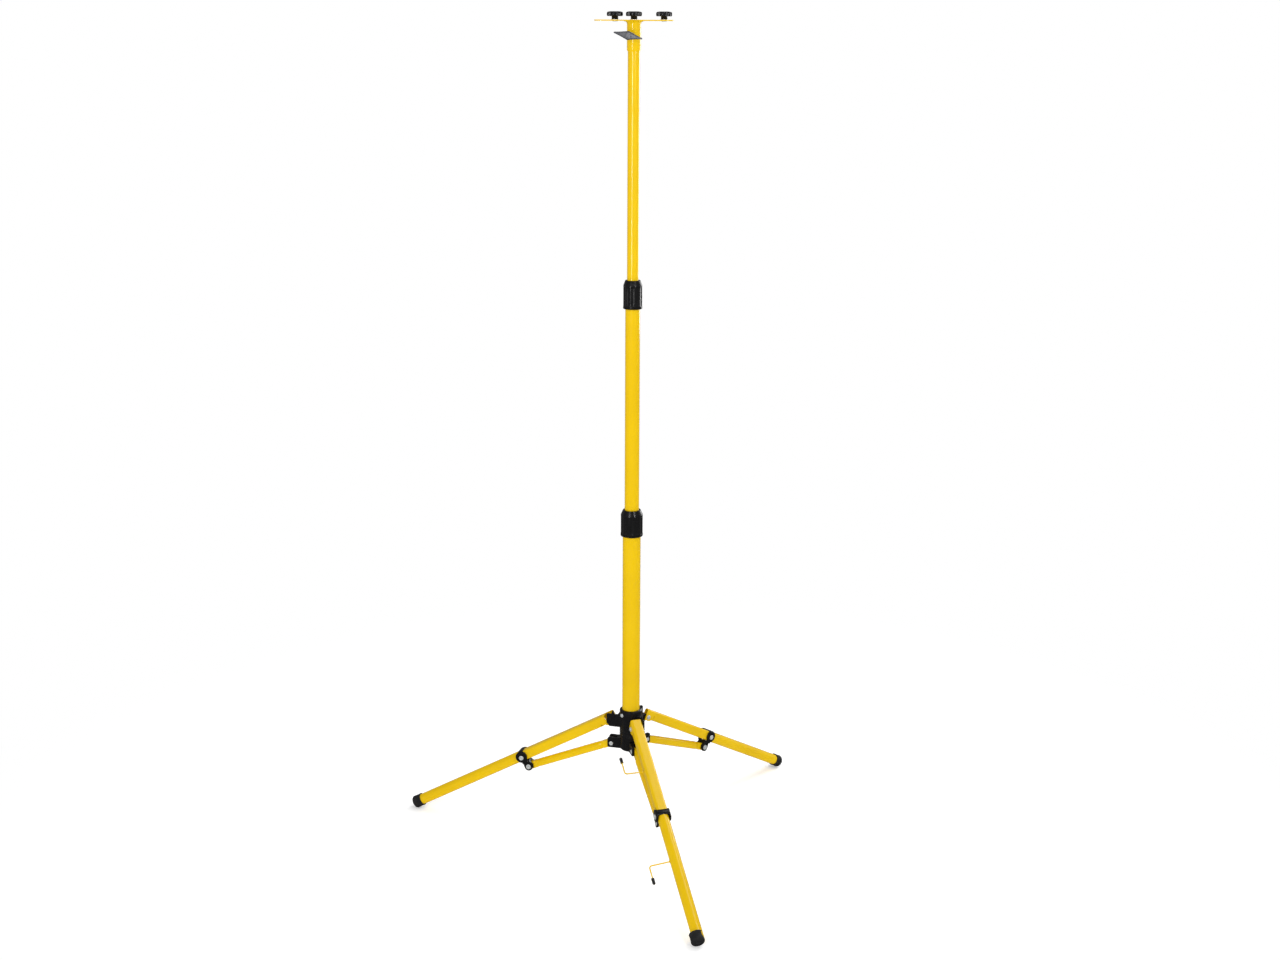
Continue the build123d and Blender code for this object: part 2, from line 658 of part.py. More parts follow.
def head_studs():
    """The three low-headed studs that come up through the bar."""
    head_r, head_h = 5.6, 1.2
    studs = []
    for x in KNOB_PLACES.values():
        stud = Pos(x, 0, 0) * rod(STUD_R, HEAD_SLEEVE[1] - 0.05, BAR_TOP + WASHER_T + STUD_IN_KNOB - 0.2)
        cup = Pos(x, 0, HEAD_SLEEVE[1] - 0.05) * Rot(180, 0, 0) * rivet_head(head_r, head_h)
        studs.append(stud + cup)
    return studs


def stud_washers():
    return [
        Pos(x, 0, 0) * tube(WASHER_R, STUD_R + RUNNING_GAP, BAR_TOP + 0.02, BAR_TOP + WASHER_T)
        for x in KNOB_PLACES.values()
    ]


def write_legs():
    for name, azimuth in LEG_AZIMUTHS.items():
        leg_parts = {
            "upper_leg": upper_leg(cut_back=name != "front"),
            "lower_leg": lower_leg(),
            "foot_cap": foot_cap(),
            "knee_bracket": knee_bracket(),
            "leg_pivot_rivet": pivot_rivet(),
        }
        if name == "front":
            for place, hook in HOOKS.items():
                tube_name = f"{place}_leg"
                along, droop = hook[0], hook[3]
                hole = Rot(90, 0, 0) * rod(HOOK_R + FIT_GAP, 0, 30)
                leg_parts[tube_name] -= Rot(droop, 0, 0) * Pos(along, 0, 0) * hole
                write(f"cable_hook_{place}", place_leg(cable_hook(*hook), azimuth))
                write(f"hook_tip_{place}", place_leg(hook_tip(*hook), azimuth))
        for part_name, shape in leg_parts.items():
            write(f"{part_name}_{name}", place_leg(shape, azimuth))
        rivets = [place_leg(rivet, azimuth) for rivet in knee_rivets()]
        write(f"knee_rivets_{name}", Compound(children=rivets))
        write(f"strut_{name}", place_strut(strut(), azimuth))


def write_mast():
    write("mast_bottom_tube", bottom_tube())
    write("mast_middle_tube", middle_tube())
    write("mast_top_tube", top_tube())
    write("lower_collet", collet(BOTTOM_TUBE_R, MIDDLE_TUBE_R, LOWER_COLLAR[0] + TUBE_INTO_COLLAR))
    write("upper_collet", collet(MIDDLE_TUBE_R, TOP_TUBE_R, UPPER_COLLAR[0] + TUBE_INTO_COLLAR))
    write("middle_guide_plug", guide_plug(BOTTOM_TUBE_R, MIDDLE_TUBE_R, MIDDLE_TUBE_BOTTOM))
    write("top_guide_plug", guide_plug(MIDDLE_TUBE_R, TOP_TUBE_R, TOP_TUBE_BOTTOM))
    write("lower_twist_collar", twist_collar(LOWER_COLLAR, BOTTOM_TUBE_R, MIDDLE_TUBE_R))
    write("upper_twist_collar", twist_collar(UPPER_COLLAR, MIDDLE_TUBE_R, TOP_TUBE_R))


def write_head():
    write("head_sleeve", place_head(head_sleeve()))
    write("clamp_nut", place_head(clamp_nut()))
    write("wing_screw", place_head(wing_screw()))
    write("cross_bar", place_head(cross_bar()))
    write("head_studs", Compound(children=[place_head(stud) for stud in head_studs()]))
    write("stud_washers", Compound(children=[place_head(washer) for washer in stud_washers()]))
    for name, x in KNOB_PLACES.items():
        write(f"knob_{name}", place_head(knob(x)))


os.makedirs("parts", exist_ok=True)
write("hub_base", hub_base())
write("base_rivets", base_rivets())
write("leg_ring", leg_ring())
write("lock_button", lock_button())
write_mast()
write_legs()
write_head()
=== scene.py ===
"""Looks of the telescopic tripod light stand: finishes, finer pieces, floor, light and camera.

Metres, in the CAD frame: +Z up the mast, the front leg towards -Y, the ground 187.5 mm below the hub.
"""
import json
import bpy
from math import copysign, cos, pi, radians, sin, sqrt
from mathutils import Matrix, Vector

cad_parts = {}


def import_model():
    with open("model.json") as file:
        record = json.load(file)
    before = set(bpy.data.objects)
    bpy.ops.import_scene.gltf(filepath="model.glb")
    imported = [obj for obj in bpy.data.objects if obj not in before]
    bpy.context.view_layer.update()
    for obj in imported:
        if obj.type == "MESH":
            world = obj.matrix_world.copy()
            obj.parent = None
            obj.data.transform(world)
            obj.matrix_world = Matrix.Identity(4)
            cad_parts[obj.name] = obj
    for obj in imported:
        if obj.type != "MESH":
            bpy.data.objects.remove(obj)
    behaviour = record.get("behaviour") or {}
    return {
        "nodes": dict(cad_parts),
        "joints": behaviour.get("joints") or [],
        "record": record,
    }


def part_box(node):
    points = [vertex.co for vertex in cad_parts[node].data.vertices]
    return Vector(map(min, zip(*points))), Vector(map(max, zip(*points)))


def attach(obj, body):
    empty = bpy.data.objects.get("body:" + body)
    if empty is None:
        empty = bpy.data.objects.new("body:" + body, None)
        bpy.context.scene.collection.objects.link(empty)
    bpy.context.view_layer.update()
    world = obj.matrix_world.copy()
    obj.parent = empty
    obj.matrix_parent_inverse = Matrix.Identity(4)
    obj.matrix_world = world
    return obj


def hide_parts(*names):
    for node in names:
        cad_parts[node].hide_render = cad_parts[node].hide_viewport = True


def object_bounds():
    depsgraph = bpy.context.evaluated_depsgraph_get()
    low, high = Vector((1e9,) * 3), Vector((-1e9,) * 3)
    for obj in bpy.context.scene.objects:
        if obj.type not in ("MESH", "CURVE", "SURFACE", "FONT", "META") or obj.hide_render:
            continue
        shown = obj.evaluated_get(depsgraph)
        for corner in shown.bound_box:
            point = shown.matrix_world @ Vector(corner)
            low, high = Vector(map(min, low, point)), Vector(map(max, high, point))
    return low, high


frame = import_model()
CAD_BOX = [list(corner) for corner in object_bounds()]
NODES = frame["nodes"]
JOINTS = {joint["name"]: joint for joint in frame["joints"]}
LEGS = ("front", "left", "right")
KNOBS = ("left", "centre", "right")
MM = 0.001


# ---------------------------------------------------------------- node materials
class Shader:
    """A Principled material and short calls for the nodes that feed it."""

    def __init__(self, name):
        self.material = bpy.data.materials.new(name)
        self.material.use_nodes = True
        self.tree = self.material.node_tree
        self.bsdf = self.tree.nodes["Principled BSDF"]
        self.place = self.tree.nodes.new("ShaderNodeTexCoord").outputs["Object"]

    def set(self, **values):
        for name, value in values.items():
            self.bsdf.inputs[name.replace("_", " ")].default_value = value

    def link(self, output, name):
        self.tree.links.new(output, self.bsdf.inputs[name])

    def noise(self, scale, detail=3.0, roughness=0.5, stretch=None):
        """Noise in metres: scale is features per metre, and stretch squeezes it along an axis."""
        node = self.tree.nodes.new("ShaderNodeTexNoise")
        node.inputs["Scale"].default_value = scale
        node.inputs["Detail"].default_value = detail
        node.inputs["Roughness"].default_value = roughness
        place = self.place
        if stretch:
            mapping = self.tree.nodes.new("ShaderNodeMapping")
            mapping.inputs["Scale"].default_value = stretch
            self.tree.links.new(place, mapping.inputs["Vector"])
            place = mapping.outputs["Vector"]
        self.tree.links.new(place, node.inputs["Vector"])
        return node.outputs["Fac"]

    def cells(self, scale):
        """Distance to the nearest of many scattered points."""
        node = self.tree.nodes.new("ShaderNodeTexVoronoi")
        node.inputs["Scale"].default_value = scale
        self.tree.links.new(self.place, node.inputs["Vector"])
        return node.outputs["Distance"]

    def ramp(self, value, *stops):
        """A ramp through (position, grey or colour) stops."""
        node = self.tree.nodes.new("ShaderNodeValToRGB")
        elements = node.color_ramp.elements
        while len(elements) < len(stops):
            elements.new(0.5)
        for element, (position, colour) in zip(elements, stops):
            rgb = (colour,) * 3 if isinstance(colour, float) else colour
            element.position = position
            element.color = (*rgb, 1.0)
        self.tree.links.new(value, node.inputs["Fac"])
        return node.outputs["Color"]

    def mix(self, factor, first, second, mode="MIX"):
        """A blend of two colours, each an output or an (r, g, b)."""
        node = self.tree.nodes.new("ShaderNodeMixRGB")
        node.blend_type = mode
        for name, value in (("Fac", factor), ("Color1", first), ("Color2", second)):
            if isinstance(value, (int, float)):
                node.inputs[name].default_value = value
            elif isinstance(value, tuple):
                node.inputs[name].default_value = (*value, 1.0)
            else:
                self.tree.links.new(value, node.inputs[name])
        return node.outputs["Color"]

    def bump(self, height, distance, strength=1.0, under=None):
        """Adds relief of the given depth in metres, over any relief already made."""
        node = self.tree.nodes.new("ShaderNodeBump")
        node.inputs["Strength"].default_value = strength
        node.inputs["Distance"].default_value = distance
        self.tree.links.new(height, node.inputs["Height"])
        if under:
            self.tree.links.new(under, node.inputs["Normal"])
        self.link(node.outputs["Normal"], "Normal")
        return node.outputs["Normal"]


def yellow_powder_coat():
    """Gloss yellow powder coat: orange peel, faint patches of tone and a few fine pale rubs."""
    paint = Shader("yellow_powder_coat")
    patches = paint.ramp(
        paint.noise(9.0, 4.0), (0.3, (0.75, 0.475, 0.0008)), (0.7, (0.82, 0.535, 0.0012))
    )
    fine = paint.ramp(paint.noise(900.0, 2.0), (0.35, 0.94), (0.65, 1.0))
    tone = paint.mix(1.0, patches, fine, "MULTIPLY")
    rubs = paint.ramp(paint.noise(45.0, 6.0, 0.7, (1.0, 1.0, 0.12)), (0.72, 0.0), (0.78, 0.30))
    paint.link(paint.mix(rubs, tone, (0.90, 0.64, 0.10)), "Base Color")
    paint.link(paint.ramp(paint.noise(220.0, 3.0), (0.3, 0.10), (0.7, 0.16)), "Roughness")
    peel = paint.bump(paint.noise(420.0, 2.0), 0.00012, 0.30)
    paint.bump(paint.noise(1800.0, 2.0), 0.00003, 0.3, peel)
    paint.set(Specular_IOR_Level=0.45)
    return paint.material


def moulded_black(name, tone, roughness, grain, depth):
    """Moulded black plastic: fine spark grain, soft tone changes and dusty high spots."""
    plastic = Shader(name)
    base = plastic.ramp(
        plastic.noise(45.0, 4.0),
        (0.3, (tone * 0.8, tone * 0.78, tone * 0.86)),
        (0.7, (tone * 1.25, tone * 1.22, tone * 1.3)),
    )
    dust = plastic.ramp(plastic.noise(grain * 0.35, 4.0, 0.65), (0.62, 0.0), (0.78, 0.18))
    plastic.link(plastic.mix(dust, base, (tone * 3.0, tone * 3.0, tone * 3.1)), "Base Color")
    handled = plastic.noise(160.0, 3.0)
    sheen = plastic.ramp(handled, (0.3, roughness - 0.07), (0.7, roughness + 0.08))
    plastic.link(sheen, "Roughness")
    plastic.bump(plastic.noise(grain, 3.0, 0.6), depth, 0.5)
    plastic.set(Specular_IOR_Level=0.33)
    return plastic.material


def black_rubber():
    """Matt rubber: fine pitting, and scuffs that leave it greyer in places."""
    rubber = Shader("black_rubber")
    dark, worn = (0.008, 0.008, 0.009), (0.019, 0.018, 0.020)
    base = rubber.ramp(rubber.noise(70.0, 5.0), (0.3, dark), (0.75, worn))
    scuffs = rubber.ramp(rubber.noise(260.0, 6.0, 0.75, (1.0, 1.0, 0.3)), (0.62, 0.0), (0.74, 0.4))
    rubber.link(rubber.mix(scuffs, base, (0.050, 0.048, 0.047)), "Base Color")
    rubber.link(rubber.ramp(rubber.noise(300.0, 3.0), (0.3, 0.62), (0.7, 0.82)), "Roughness")
    pits = rubber.bump(rubber.cells(1500.0), 0.00008, 0.35)
    rubber.bump(rubber.noise(700.0, 4.0, 0.6), 0.00008, 0.4, pits)
    rubber.set(Specular_IOR_Level=0.35)
    return rubber.material


def plated_steel(name, colour, roughness):
    """Zinc-plated steel: cloudy plating, fine turning marks and small dull spots."""
    steel = Shader(name)
    dark = tuple(value * 0.78 for value in colour)
    clouds = steel.ramp(steel.noise(320.0, 4.0), (0.3, dark), (0.7, colour))
    spots = steel.ramp(steel.noise(900.0, 3.0), (0.62, 0.0), (0.72, 0.6))
    steel.link(steel.mix(spots, clouds, tuple(value * 0.5 for value in colour)), "Base Color")
    marks = steel.noise(700.0, 3.0)
    steel.link(steel.ramp(marks, (0.3, roughness - 0.06), (0.7, roughness + 0.12)), "Roughness")
    steel.bump(steel.noise(1500.0, 3.0), 0.00004, 0.4)
    steel.set(Metallic=0.45)
    return steel.material


def cast_grey():
    """Grey die-cast metal, dull and slightly rough, brighter where it has been handled."""
    cast = Shader("grey_cast_metal")
    dull, bright = (0.085, 0.088, 0.098), (0.15, 0.152, 0.165)
    base = cast.ramp(cast.noise(120.0, 4.0), (0.3, dull), (0.7, bright))
    worn = cast.ramp(cast.noise(400.0, 5.0, 0.7), (0.60, 0.0), (0.75, 0.6))
    cast.link(cast.mix(worn, base, (0.24, 0.24, 0.25)), "Base Color")
    cast.link(cast.ramp(cast.noise(350.0, 3.0), (0.3, 0.38), (0.7, 0.58)), "Roughness")
    cast.bump(cast.noise(800.0, 4.0, 0.65), 0.0001, 0.5)
    cast.set(Metallic=0.65)
    return cast.material


MATERIALS = {
    "yellow_powder_coat": yellow_powder_coat(),
    "black_nylon": moulded_black("black_nylon", 0.0045, 0.28, 1400.0, 0.00006),
    "natural_nylon": moulded_black("natural_nylon", 0.022, 0.55, 1100.0, 0.00005),
    "black_plastic_knob": moulded_black("black_plastic_knob", 0.0065, 0.24, 900.0, 0.00003),
    "black_rubber": black_rubber(),
    "zinc_steel": plated_steel("zinc_steel", (0.74, 0.77, 0.77), 0.28),
    "grey_cast_metal": cast_grey(),
}
SLOT_OF = {part["node"]: part["material_slot"] for part in frame["record"]["subparts"]}


# ---------------------------------------------------------------- mesh helpers
def mesh_piece(name, points, faces, body, slot, replaced=(), sharp=35.0):
    """A smooth-shaded mesh piece in the CAD frame that rides on a body."""
    mesh = bpy.data.meshes.new(name)
    mesh.from_pydata([tuple(point) for point in points], [], faces)
    mesh.validate()
    piece = bpy.data.objects.new(name, mesh)
    bpy.context.scene.collection.objects.link(piece)
    mesh.materials.append(MATERIALS[slot])
    mesh.shade_smooth()
    mesh.set_sharp_from_angle(angle=radians(sharp))
    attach(piece, body)
    if replaced:
        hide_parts(*replaced)


def band(first, second, around):
    """Quads between two rings of points, given the number of each ring's first point."""
    faces = []
    for i in range(around):
        j = (i + 1) % around
        faces.append((first + i, first + j, second + j, second + i))
    return faces


def capped(rings, around):
    """The faces of a solid of stacked rings, with a flat cap on its first and last ring."""
    faces = []
    for ring in range(rings - 1):
        faces += band(ring * around, (ring + 1) * around, around)
    faces.append(tuple(reversed(range(around))))
    faces.append(tuple(range((rings - 1) * around, rings * around)))
    return faces


def bored(rings, around):
    """The faces of a solid of stacked rings whose last ring, in the bore, joins the first."""
    faces = []
    for ring in range(rings):
        faces += band(ring * around, (ring + 1) % rings * around, around)
    return faces


def lathe(profile, around, place, shape=None):
    """The points of a turned solid. The profile is (radius, height) pairs, from one end to the other,
    and shape(angle, step), when given, scales the radius round each ring."""
    points = []
    for step, (radius, height) in enumerate(profile):
        for i in range(around):
            angle = 2 * pi * i / around
            out = radius * (shape(angle, step) if shape else 1.0)
            points.append(place @ Vector((out * cos(angle), out * sin(angle), height)))
    return points


def turned(name, profile, around, place, body, slot, replaced=(), shape=None, sharp=45.0):
    """A turned piece with capped ends, from a profile in millimetres."""
    points = lathe(scaled(profile), around, place, shape)
    mesh_piece(name, points, capped(len(profile), around), body, slot, replaced, sharp)


def bored_through(name, profile, around, place, body, slot, replaced=(), shape=None, sharp=40.0):
    """A turned piece with a bore, from a closed profile in millimetres."""
    points = lathe(scaled(profile), around, place, shape)
    mesh_piece(name, points, bored(len(profile), around), body, slot, replaced, sharp)


def arc(centre, radius, start, end, steps):
    """Points of an arc in the profile plane, angles in degrees."""
    turns = [radians(start + (end - start) * i / steps) for i in range(steps + 1)]
    return [(centre[0] + radius * cos(turn), centre[1] + radius * sin(turn)) for turn in turns]


def axis_frame(origin, direction):
    """A matrix whose z runs along direction from origin."""
    turn = Vector(direction).normalized().to_track_quat("Z", "Y")
    return Matrix.Translation(Vector(origin)) @ turn.to_matrix().to_4x4()


def scaled(profile):
    """A profile written in millimetres, in metres."""
    return [(radius * MM, height * MM) for radius, height in profile]


def box_centre(node):
    """The middle of a node's box at rest."""
    low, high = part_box(node)
    return (low + high) / 2


def widest(node):
    """How far a node reaches along +X at rest."""
    return max(vertex.co.x for vertex in NODES[node].data.vertices)


def joint_place(name):
    """A point on a joint's axis, and the axis."""
    joint = JOINTS[name]
    return Vector(joint["pos_m"]), Vector(joint["axis"])


# ---------------------------------------------------------------- turned and moulded pieces
def star_knob(side):
    """A moulded six-lobed knob: a waisted neck, drooping lobes and a dished top."""
    node = f"knob_{side}"
    low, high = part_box(node)
    height = (high.z - low.z) / MM
    reach = (high.x - low.x) / 2 / MM
    neck, cap_low = 6.0, 5.9
    lobes, lobe_depth = 6, 0.17
    profile = [(3.1, 0.05), (neck - 0.6, 0.0), (neck, 0.6), (neck, cap_low - 0.9)]
    profile += [(neck + 0.8, cap_low), (reach - 4.8, cap_low - 0.1), (reach - 3.0, cap_low - 0.5)]
    profile += arc((reach - 2.2, cap_low + 1.6), 2.2, -75, 0, 6)
    profile += arc((reach - 3.0, height - 3.6), 3.0, 5, 75, 7)
    profile += [(reach - 4.6, height - 0.35), (reach * 0.55, height)]
    profile += [(reach * 0.44, height), (reach * 0.34, height - 0.3), (reach * 0.30, height - 1.2)]
    profile += [(2.2, height - 1.3), (0.8, height - 1.3)]

    def lobed(angle, step):
        radius = profile[step][0]
        share = max(0.0, (radius - neck) / (reach - neck))
        return 1.0 - lobe_depth * share * (1.0 - cos(lobes * angle)) * (0.6 + 0.4 * share)

    centre = box_centre(node)
    place = Matrix.Translation((centre.x, centre.y, low.z))
    name = f"star_knob_{side}"
    turned(name, profile, 72, place, node, "black_plastic_knob", (node,), lobed, 50.0)


def head_socket():
    """The socket over the top tube: a small lower chamfer and a trumpet flare under the bar."""
    low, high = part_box("head_sleeve")
    tall = (high.z - low.z) / MM
    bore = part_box("mast_top_tube")[1].x / MM + 0.1
    radius, flare, lip = 12.7, 4.8, 0.8
    profile = [(bore, 0.0), (radius - 0.9, 0.0), (radius - 0.2, 2.4), (radius, 3.2)]
    profile += arc((radius + flare, tall - lip - flare), flare, 180, 90, 10)
    profile += [(radius + flare + 0.3, tall - 0.4), (radius + flare, tall), (bore, tall)]
    place = Matrix.Translation((0, 0, low.z))
    bored_through("head_socket", profile, 96, place, "head", "yellow_powder_coat", ("head_sleeve",))


def bar_studs():
    """The knobs' studs: a low domed head under the bar and a plain shank up into each knob."""
    bar_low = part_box("cross_bar")[0].z
    top = (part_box("head_studs")[1].z - bar_low) / MM
    head_r, head_t, shank_r, chamfer = 5.4, 1.1, 2.9, 0.4
    profile = [(0.6, -head_t), (head_r * 0.6, -head_t * 0.92), (head_r * 0.88, -head_t * 0.62)]
    profile += [(head_r, -0.2), (head_r, 0.0), (shank_r, 0.0), (shank_r, top - chamfer)]
    profile += [(shank_r - chamfer, top), (0.6, top)]
    for side in KNOBS:
        centre = box_centre(f"knob_{side}")
        place = Matrix.Translation((centre.x, centre.y, bar_low))
        replaced = ("head_studs",) if side == "centre" else ()
        turned(f"bar_stud_{side}", profile, 40, place, "head", "zinc_steel", replaced)


def twist_grip(which, body):
    """A twist-lock collar: soft flutes, a chamfered shoulder and a rolled lower edge."""
    node = f"{which}_twist_collar"
    low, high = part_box(node)
    tall = (high.z - low.z) / MM
    radius = (high.x - low.x) / 2 / MM
    outer, inner = ("bottom", "middle") if which == "lower" else ("middle", "top")
    bore_top = widest(f"mast_{inner}_tube") / MM + 0.25
    bore_low = widest(f"mast_{outer}_tube") / MM + 0.12
    shoulder, neck = 10.0, bore_top + 2.9
    flutes, flute_depth = 12, 0.055
    flute_low, flute_high = 5.0, tall - shoulder - 1.0
    bands = 10
    outside = [(bore_low, 0.0), (radius - 1.6, 0.0)] + arc((radius - 1.4, 1.4), 1.4, -80, 0, 5)
    outside += [(radius, 3.6), (radius - 0.5, 3.9), (radius - 0.5, 4.5), (radius, 4.8)]
    outside += [(radius, flute_low + (flute_high - flute_low) * k / bands) for k in range(bands + 1)]
    outside += [(radius, tall - shoulder - 0.3), (radius - 0.25, tall - shoulder + 0.3)]
    rim = [(neck + 0.5, tall - 0.9), (neck + 0.1, tall - 0.2), (neck - 0.5, tall), (bore_top, tall)]
    outside += rim
    inside = [(bore_top, tall - 5.0), (bore_low, tall - 27.0)]
    profile = outside + inside

    def fluted(angle, step):
        height = profile[step][1]
        if step >= len(outside) - len(rim) or height < flute_low - 0.1:
            return 1.0
        ends = min(1.0, (height - flute_low + 0.5) / 3.0, (flute_high + 1.5 - height) / 3.0)
        groove = max(0.0, 0.5 - 0.5 * cos(flutes * angle) - 0.15) / 0.85
        return 1.0 - flute_depth * max(0.0, ends) * groove

    place = Matrix.Translation((0, 0, low.z))
    bored_through(f"twist_grip_{which}", profile, 144, place, body, "black_nylon", (node,), fluted)


def leg_axes(name):
    """The leg's foot end, and the unit direction towards the foot."""
    _, axis = joint_place(f"leg_{name}_fold")
    mesh = NODES[f"lower_leg_{name}"].data
    centre = sum((vertex.co for vertex in mesh.vertices), Vector()) / len(mesh.vertices)
    outward = Vector((0, 0, 1)).cross(axis)
    outward = outward if outward.dot(centre) > 0 else -outward
    spread = [vertex.co - centre for vertex in mesh.vertices]
    along = sum((v.dot(outward) ** 2 for v in spread))
    cross = sum((v.dot(outward) * v.z for v in spread))
    direction = (outward * along + Vector((0, 0, cross))).normalized()
    reach = max(v.dot(direction) for v in spread)
    return centre + direction * reach, direction


def foot_boot(name):
    """The rubber cap on a leg: a lipped mouth, a slight swell and a rounded, ringed end."""
    node = f"foot_cap_{name}"
    end, direction = leg_axes(name)
    mesh = NODES[node].data
    far = max((vertex.co - end).dot(direction) for vertex in mesh.vertices) / MM
    near = min((vertex.co - end).dot(direction) for vertex in mesh.vertices) / MM
    profile = (
        [(11.05, near), (12.7, near), (13.0, near + 0.4), (13.0, near + 1.6), (12.5, near + 2.2)]
        + [(12.5, near + 8.0), (12.75, near + 12.0), (12.95, far - 5.5)]
        + arc((9.0, far - 4.0), 4.0, 0, 84, 8)
        + [(8.0, far), (7.4, far - 0.7), (6.4, far - 0.7), (5.8, far), (1.2, far)]
    )
    place, body = axis_frame(end, direction), f"leg_{name}"
    turned(f"foot_boot_{name}", profile, 64, place, body, "black_rubber", (node,), None, 40.0)


def rivet_profile(radius, height):
    """A domed rivet head with the small dimple that the setting punch leaves."""
    dome = [(radius, 0.0), (radius, 0.32 * height), (0.93 * radius, 0.62 * height)]
    dome += [(0.78 * radius, 0.86 * height), (0.55 * radius, height), (0.30 * radius, height)]
    dimple = [(0.24 * radius, 0.86 * height), (0.14 * radius, 0.62 * height)]
    return dome + dimple + [(0.05 * radius, 0.58 * height)]


def rivet(name, body, place, axis, grip, heads, replaced=()):
    """One rivet: its shank reaches grip millimetres each way along the axis, and each end has a
    (radius, height) head or none."""
    profile = []
    low_head, high_head = heads
    low, high = -grip, grip
    if low_head:
        profile += [(r, low - h) for r, h in reversed(rivet_profile(*low_head))]
    else:
        profile += [(0.4, low), (2.3, low)]
    profile += [(2.5, low), (2.5, high)]
    if high_head:
        profile += [(r, high + h) for r, h in rivet_profile(*high_head)]
    else:
        profile += [(2.3, high), (0.4, high)]
    turned(name, profile, 40, axis_frame(place, axis), body, "zinc_steel", replaced)


def rivets():
    """Every visible rivet, on the pivots that the frame gives."""
    base, strut, knee, top = (4.2, 1.6), (5.2, 1.8), (4.9, 1.9), (4.6, 2.4)
    for name in LEGS:
        leg = f"leg_{name}"
        base_pivot, axis = joint_place(f"strut_{name}_fold")
        strut_pivot, _ = joint_place(f"leg_{name}_fold")
        base_nodes = ("base_rivets",) if name == "front" else ()
        rivet(f"base_rivet_{name}", "base", base_pivot, axis, 9.4, (base, base), base_nodes)
        rivet(f"strut_rivet_{name}", leg, strut_pivot, axis, 8.6, (strut, strut))
        place = knee_rivet_place(name, strut_pivot, axis)
        knee_nodes = (f"knee_rivets_{name}",)
        rivet(f"knee_rivet_{name}", leg, place, axis, 14.5, (knee, knee), knee_nodes)
        node = f"leg_pivot_rivet_{name}"
        vertices = [vertex.co for vertex in NODES[node].data.vertices]
        place = pivot_place(vertices, axis, strut_pivot)
        rivet(f"top_rivet_{name}", leg, place, axis, 11.0, (None, top), (node,))


def pivot_place(vertices, axis, level):
    """The centre of a pin along axis, from the middle of its extents across the axis, as far along
    the axis as the point level."""
    across = Vector((0, 0, 1)).cross(axis).normalized()
    spans = []
    for way in (across, Vector((0, 0, 1))):
        values = [vertex.dot(way) for vertex in vertices]
        spans.append((min(values) + max(values)) / 2)
    return across * spans[0] + Vector((0, 0, spans[1])) + axis * level.dot(axis)


def knee_rivet_place(name, strut_pivot, axis):
    """The knee rivet's centre, from the vertices of the rivet pair that are away from the strut's
    pivot."""
    pair_apart = 12 * MM
    far = []
    for vertex in NODES[f"knee_rivets_{name}"].data.vertices:
        away = vertex.co - strut_pivot
        if (away - axis * away.dot(axis)).length > pair_apart:
            far.append(vertex.co)
    return pivot_place(far, axis, strut_pivot)


def wing_screw():
    """The cast wing, its boss and the threaded shank."""
    pos, axis = joint_place("wing_screw_turn")
    far = max(vertex.co.dot(axis) for vertex in NODES["wing_screw"].data.vertices)
    thick = 4.6 * MM
    centre = Vector((0, 0, pos.z))
    wing_lozenge(centre, axis, far, thick)
    boss = [(2.6, -3.6), (5.4, -3.6), (6.0, -3.0), (6.0, 4.2), (5.4, 4.9), (3.0, 5.2), (1.2, 5.2)]
    place = axis_frame(centre + axis * (far - thick), axis)
    turned("wing_boss", boss, 40, place, "wing_screw", "grey_cast_metal", (), None, 35.0)
    thread("wing_screw_thread", centre, axis, 11.2 * MM, far - thick - 2.0 * MM, "wing_screw")


def wing_lozenge(centre, axis, far, thick):
    """The wing: widest and thickest at its waist, with hollow edges and rounded tips."""
    wing_points = []
    for vertex in NODES["wing_screw"].data.vertices:
        if vertex.co.dot(axis) > far - 1.5 * thick:
            wing_points.append(vertex.co - centre)
    tip = max(wing_points, key=lambda point: (point - axis * point.dot(axis)).length)
    tip -= axis * tip.dot(axis)
    long_way = tip.normalized()
    wide_way = axis.cross(long_way)
    waist = max(abs(point.dot(wide_way)) for point in wing_points)
    tip_half, tip_thin, round_from = 1.3 * MM, 0.42, 0.96
    points = []
    steps, around = 48, 24
    for i in range(steps + 1):
        t = -1 + 2 * i / steps
        half_wide = tip_half + (waist - tip_half) * (1 - abs(t)) ** 1.25
        half_thick = thick / 2 * (tip_thin + (1 - tip_thin) * (1 - abs(t) ** 1.6))
        if abs(t) > round_from:
            half_wide *= sqrt(max(0.02, 1 - ((abs(t) - round_from) / (1 - round_from)) ** 2))
        middle = centre + long_way * t * tip.length + axis * (far - thick / 2)
        for j in range(around):
            turn = 2 * pi * j / around
            across = half_wide * bulged(cos(turn))
            deep = half_thick * bulged(sin(turn))
            points.append(middle + wide_way * across + axis * deep)
    faces = capped(steps + 1, around)
    mesh_piece("wing_lozenge", points, faces, "wing_screw", "grey_cast_metal", ("wing_screw",), 50.0)


def bulged(value):
    """A sine or cosine made fuller, which squares off a round section a little."""
    return copysign(abs(value) ** 0.7, value)


def thread(name, centre, axis, start, end, body):
    """A screw thread of one millimetre pitch as a helical surface round a core."""
    core, crest, pitch, around = 2.45 * MM, 2.95 * MM, 1.0 * MM, 24
    place = axis_frame(centre, axis)
    rings_per_turn = 6
    rings = int((end - start) / pitch * rings_per_turn)
    points = []
    for i in range(rings + 1):
        for j in range(around):
            angle = 2 * pi * j / around
            phase = (i / rings_per_turn - j / around) % 1.0
            radius = core + (crest - core) * (1 - abs(2 * phase - 1))
            height = start + (end - start) * i / rings
            points.append(place @ Vector((radius * cos(angle), radius * sin(angle), height)))
    mesh_piece(name, points, capped(rings + 1, around), body, "zinc_steel", (), 60.0)


